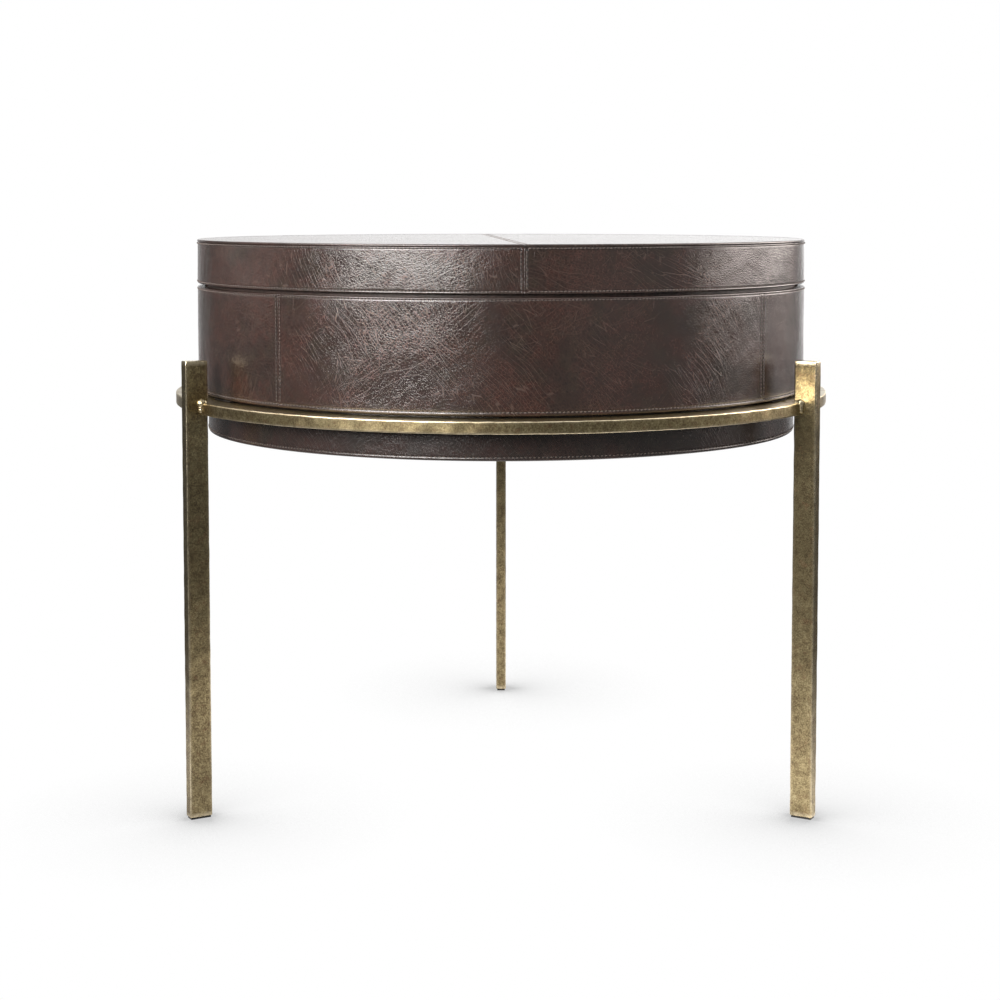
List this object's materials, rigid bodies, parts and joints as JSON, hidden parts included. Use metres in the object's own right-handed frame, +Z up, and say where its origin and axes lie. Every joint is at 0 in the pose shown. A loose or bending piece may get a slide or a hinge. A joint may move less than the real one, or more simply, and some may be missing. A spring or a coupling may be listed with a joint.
{
  "type": "round leather storage drum side table",
  "caption": "Round leather-covered storage drum with a lift-off lid, resting by a stepped ledge in a flat brass ring on upright flat-bar legs; serves as a side table.",
  "frame": {"origin": "on the floor, under the middle of the table's outline, which runs from the ring's front edge to the rear leg; the drum's own axis passes 7.45 mm in front of it", "axes": "+Z up; +Y towards the rear leg, so -Y is the front; +X to the right as seen from the front"},
  "size_m": [0.655, 0.67, 0.5475],
  "materials": {
    "antique_brass": "antiqued, mottled olive and brown patina, worn bright at the edges",
    "weld_brass": "rough weld bead in the same antiqued finish",
    "brown_leather": "semi-gloss, pebbled grain with creases",
    "dark_leather": "satin, darker than the body",
    "bent_plywood": "sanded, unfinished",
    "suede_lining": "napped",
    "dark_felt": "felted",
    "glide_plastic": "matt"
  },
  "bodies": {
    "frame": {"support_ring": "antique_brass", "leg_rear": "antique_brass", "leg_front_left": "antique_brass", "leg_front_right": "antique_brass", "weld_rear_left": "weld_brass", "weld_rear_right": "weld_brass", "weld_front_left_left": "weld_brass", "weld_front_left_right": "weld_brass", "weld_front_right_left": "weld_brass", "weld_front_right_right": "weld_brass", "glide_rear": "glide_plastic", "glide_front_left": "glide_plastic", "glide_front_right": "glide_plastic", "ring_pad_rear": "dark_felt", "ring_pad_front_left": "dark_felt", "ring_pad_front_right": "dark_felt"},
    "drum": {"inner_hoop": "bent_plywood", "body_hoop": "bent_plywood", "bottom_panel": "bent_plywood", "floor_lining": "suede_lining", "wall_lining": "suede_lining", "lip_wrap": "dark_leather", "lower_band": "dark_leather", "underside_cover": "dark_felt", "body_leather_front": "brown_leather", "body_leather_right": "brown_leather", "body_leather_rear": "brown_leather", "body_leather_left": "brown_leather"},
    "lid": {"lid_panel": "bent_plywood", "lid_hoop": "bent_plywood", "lid_skirt_lining": "suede_lining", "lid_panel_lining": "suede_lining", "lid_top_left": "brown_leather", "lid_top_right": "brown_leather", "lid_band_right": "brown_leather", "lid_band_left": "brown_leather"}
  },
  "joints": [
    {"name": "drum_lift", "type": "slide", "parent": "frame", "child": "drum", "axis": [0, 0, 1], "range_m": [0, 0.09]},
    {"name": "lid_lift", "type": "slide", "parent": "drum", "child": "lid", "axis": [0, 0, 1], "range_m": [0, 0.06]}
  ]
}
